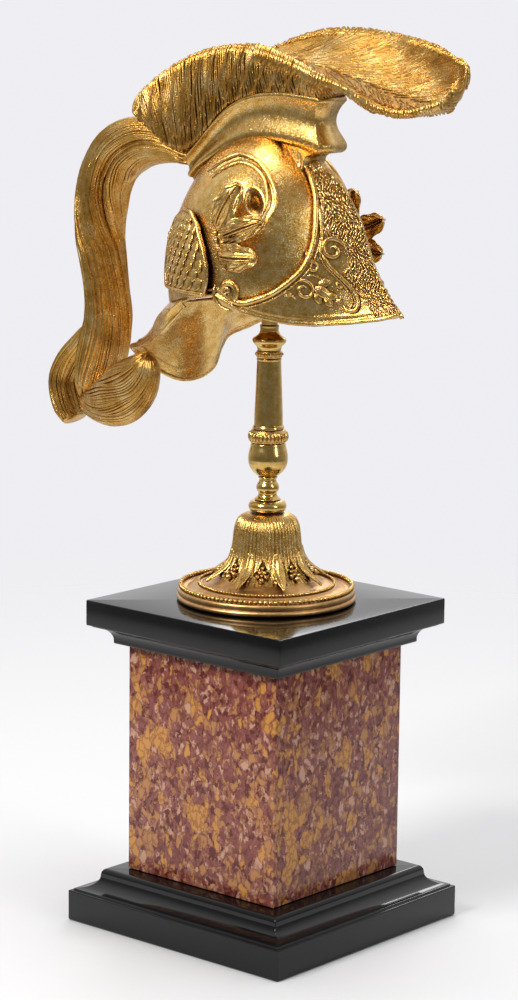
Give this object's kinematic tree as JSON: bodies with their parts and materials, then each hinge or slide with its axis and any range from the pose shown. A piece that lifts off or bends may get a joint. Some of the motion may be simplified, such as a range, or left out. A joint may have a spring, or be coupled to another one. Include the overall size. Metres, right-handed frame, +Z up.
{
  "type": "gilt bronze model of a plumed roman helmet on a stem and marble plinth",
  "caption": "Gilt bronze desk ornament: a plumed antique helmet with a looping hair tail, on a turned stem with a leaf-bell foot and a square plinth of black and breccia marble.",
  "frame": {"origin": "centre of the plinth's underside, on the surface that it stands on", "axes": "+Z up, +X the way the helmet's visor points, +Y to the helmet's left"},
  "size_m": [0.2335, 0.124, 0.3983],
  "materials": {
    "gilt_bronze": "chased and fire-gilt cast bronze",
    "burnished_gilt": "turned and burnished gilt bronze",
    "black_marble": "polished black marble",
    "breccia_marble": "polished red and ochre breccia marble"
  },
  "bodies": {
    "root": {"plinth_base": "black_marble", "plinth_die": "breccia_marble", "plinth_cap": "black_marble", "foot_disc": "burnished_gilt", "leaf_bell": "gilt_bronze", "stem_torus": "burnished_gilt", "stem_knop": "burnished_gilt", "stem_vase": "burnished_gilt", "gadroon_ring": "gilt_bronze", "stem_shaft": "burnished_gilt", "bead_ring": "gilt_bronze", "stem_socket": "burnished_gilt", "fixing_rod": "burnished_gilt", "helmet_bowl": "gilt_bronze", "crest_box": "gilt_bronze", "neck_guard": "gilt_bronze", "plume": "gilt_bronze", "plume_tail": "gilt_bronze", "right_cheek_band": "gilt_bronze", "left_cheek_band": "gilt_bronze", "right_ear_band": "gilt_bronze", "left_ear_band": "gilt_bronze", "right_leaf_upper": "gilt_bronze", "left_leaf_upper": "gilt_bronze", "right_leaf_middle": "gilt_bronze", "left_leaf_middle": "gilt_bronze", "right_leaf_lower": "gilt_bronze", "left_leaf_lower": "gilt_bronze", "right_scale_plate": "gilt_bronze", "left_scale_plate": "gilt_bronze"}
  },
  "joints": []
}
